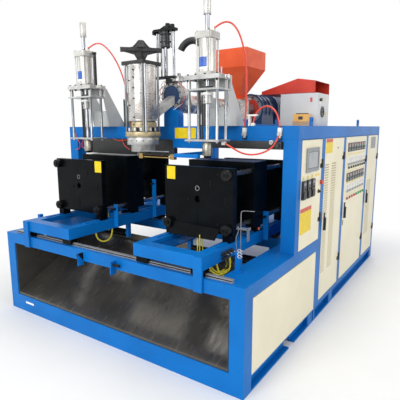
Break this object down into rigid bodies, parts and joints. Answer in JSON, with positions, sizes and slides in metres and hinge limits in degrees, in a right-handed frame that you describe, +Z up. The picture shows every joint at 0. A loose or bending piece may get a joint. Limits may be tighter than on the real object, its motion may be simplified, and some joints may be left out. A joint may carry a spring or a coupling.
{
  "type": "extrusion blow moulding machine",
  "caption": "Two-station extrusion blow moulding machine: sliding mould carriages, clamp units, blow pins, parison die head, extruder with hopper, discharge chute and control cabinet.",
  "frame": {"origin": "centre of the footprint on the floor, on the underside of the middle cross member", "axes": "+X to the right along the front, +Y towards the back, +Z up"},
  "size_m": [2.832, 4.06, 2.9],
  "materials": {
    "gloss_enamel_0": "gloss enamel",
    "polished_dark_sheet_1": "polished dark sheet",
    "satin_enamel_2": "satin enamel",
    "ground_steel_3": "ground steel",
    "satin_black_4": "satin black",
    "anodised_5": "anodised",
    "light_grey_6": "light grey",
    "polished_stainless_7": "polished stainless",
    "hard_chrome_8": "hard chrome",
    "heater_bands_9": "heater bands",
    "orange_enamel_10": "orange enamel",
    "orange_red_11": "orange red",
    "grey_12": "grey",
    "amber_cap_13": "amber cap",
    "white_14": "white",
    "red_hose_15": "red hose",
    "brass_and_steel_16": "brass and steel",
    "red_guard_17": "red guard",
    "grey_bezel_18": "grey bezel",
    "red_19": "red",
    "dark_panel_meters_20": "dark panel meters",
    "yellow_hose_21": "yellow hose"
  },
  "bodies": {
    "frame": {"base_frame": "gloss_enamel_0", "discharge_chute": "polished_dark_sheet_1", "top_frame": "gloss_enamel_0", "cabinet_shell": "gloss_enamel_0", "side_panel": "satin_enamel_2", "slide_rails": "ground_steel_3", "carriage_cylinders": "satin_black_4", "blow_frames": "ground_steel_3", "blow_cylinders": "anodised_5", "blow_brackets": "light_grey_6", "die_head": "polished_stainless_7", "head_yoke": "satin_black_4", "programmer": "hard_chrome_8", "melt_adapter": "ground_steel_3", "extruder_stand": "gloss_enamel_0", "extruder_barrel": "heater_bands_9", "gearbox": "gloss_enamel_0", "drive_motor": "gloss_enamel_0", "hopper": "orange_enamel_10", "motor_hood": "orange_red_11", "control_box": "grey_12", "lubricator": "amber_cap_13", "knife_carrier": "gloss_enamel_0", "hose_fittings": "white_14", "red_hose_right_cap": "red_hose_15", "red_hose_left_cap": "red_hose_15", "red_hose_beam": "red_hose_15", "red_hose_right_pin": "red_hose_15"},
    "hot_knife": {"hot_knife": "brass_and_steel_16"},
    "hopper_gate": {"hopper_gate": "ground_steel_3"},
    "extruder_screw": {"extruder_screw": "ground_steel_3"},
    "shaft_coupling": {"shaft_coupling": "red_guard_17"},
    "hmi_door": {"hmi_door": "satin_enamel_2", "operator_panel": "grey_bezel_18"},
    "emergency_stop": {"emergency_stop": "red_19"},
    "drive_door": {"drive_door": "satin_enamel_2"},
    "drive_door_handle": {"drive_door_handle": "satin_black_4"},
    "control_door": {"control_door": "satin_enamel_2", "control_instruments": "dark_panel_meters_20"},
    "control_door_handle": {"control_door_handle": "satin_black_4"},
    "rear_door": {"rear_door": "satin_enamel_2"},
    "rear_door_handle": {"rear_door_handle": "satin_black_4"},
    "left_carriage": {"left_carriage": "gloss_enamel_0", "left_guides": "ground_steel_3", "yellow_hose_left": "yellow_hose_21"},
    "left_clamp": {"left_front_platen": "satin_black_4", "left_tie_bars": "hard_chrome_8", "left_rear_platen": "satin_black_4", "left_clamp_cylinder": "satin_black_4"},
    "left_moving_platen": {"left_moving_platen": "satin_black_4"},
    "left_blow_pin": {"left_blow_pin": "ground_steel_3"},
    "right_carriage": {"right_carriage": "gloss_enamel_0", "right_guides": "ground_steel_3", "yellow_hose_right": "yellow_hose_21"},
    "right_clamp": {"right_front_platen": "satin_black_4", "right_tie_bars": "hard_chrome_8", "right_rear_platen": "satin_black_4", "right_clamp_cylinder": "satin_black_4"},
    "right_moving_platen": {"right_moving_platen": "satin_black_4"},
    "right_blow_pin": {"right_blow_pin": "ground_steel_3"}
  },
  "joints": [
    {"name": "left_carriage_slide", "type": "slide", "parent": "frame", "child": "left_carriage", "axis": [1, 0, 0], "range_m": [0, 0.73]},
    {"name": "right_carriage_slide", "type": "slide", "parent": "frame", "child": "right_carriage", "axis": [1, 0, 0], "range_m": [-0.73, 0]},
    {"name": "left_clamp_slide", "type": "slide", "parent": "left_carriage", "child": "left_clamp", "axis": [0, -1, 0], "range_m": [0, 0.175]},
    {"name": "left_platen_slide", "type": "slide", "parent": "left_carriage", "child": "left_moving_platen", "axis": [0, 1, 0], "range_m": [0, 0.175]},
    {"name": "left_blow_pin_slide", "type": "slide", "parent": "frame", "child": "left_blow_pin", "axis": [0, 0, -1], "range_m": [0, 0.12]},
    {"name": "right_clamp_slide", "type": "slide", "parent": "right_carriage", "child": "right_clamp", "axis": [0, -1, 0], "range_m": [0, 0.175]},
    {"name": "right_platen_slide", "type": "slide", "parent": "right_carriage", "child": "right_moving_platen", "axis": [0, 1, 0], "range_m": [0, 0.175]},
    {"name": "right_blow_pin_slide", "type": "slide", "parent": "frame", "child": "right_blow_pin", "axis": [0, 0, -1], "range_m": [0, 0.12]},
    {"name": "hot_knife_slide", "type": "slide", "parent": "frame", "child": "hot_knife", "axis": [0, 1, 0], "range_m": [0, 0.24]},
    {"name": "hopper_gate_slide", "type": "slide", "parent": "frame", "child": "hopper_gate", "axis": [1, 0, 0], "range_m": [0, 0.115]},
    {"name": "screw_turn", "type": "hinge", "parent": "frame", "child": "extruder_screw", "pos_m": [0, 0, 2.13], "axis": [0, 1, 0], "continuous": true},
    {"name": "coupling_turn", "type": "hinge", "parent": "frame", "child": "shaft_coupling", "pos_m": [0, 1.115, 2.13], "axis": [0, 1, 0], "continuous": true},
    {"name": "hmi_door_hinge", "type": "hinge", "parent": "frame", "child": "hmi_door", "pos_m": [1.40905, -0.518, 1.2], "axis": [0, 0, 1], "range_deg": [0, 100]},
    {"name": "drive_door_hinge", "type": "hinge", "parent": "frame", "child": "drive_door", "pos_m": [1.40905, 0.207, 1.2], "axis": [0, 0, 1], "range_deg": [0, 100]},
    {"name": "control_door_hinge", "type": "hinge", "parent": "frame", "child": "control_door", "pos_m": [1.40905, 1.252, 1.2], "axis": [0, 0, 1], "range_deg": [0, 100]},
    {"name": "rear_door_hinge", "type": "hinge", "parent": "frame", "child": "rear_door", "pos_m": [1.40905, 1.927, 1.2], "axis": [0, 0, 1], "range_deg": [0, 100]},
    {"name": "drive_handle_turn", "type": "hinge", "parent": "drive_door", "child": "drive_door_handle", "pos_m": [1.414, -0.396, 1.044], "axis": [1, 0, 0], "range_deg": [0, 90]},
    {"name": "control_handle_turn", "type": "hinge", "parent": "control_door", "child": "control_door_handle", "pos_m": [1.414, 0.324, 1.036], "axis": [1, 0, 0], "range_deg": [0, 90]},
    {"name": "rear_handle_turn", "type": "hinge", "parent": "rear_door", "child": "rear_door_handle", "pos_m": [1.414, 1.374, 1.049], "axis": [1, 0, 0], "range_deg": [0, 90]},
    {"name": "emergency_stop_press", "type": "slide", "parent": "hmi_door", "child": "emergency_stop", "axis": [-1, 0, 0], "range_m": [0, 0.005]}
  ],
  "couplings": [
    {"joint": "left_platen_slide", "follows": "left_clamp_slide", "ratio": 1},
    {"joint": "right_platen_slide", "follows": "right_clamp_slide", "ratio": 1},
    {"joint": "coupling_turn", "follows": "screw_turn", "ratio": 12}
  ]
}
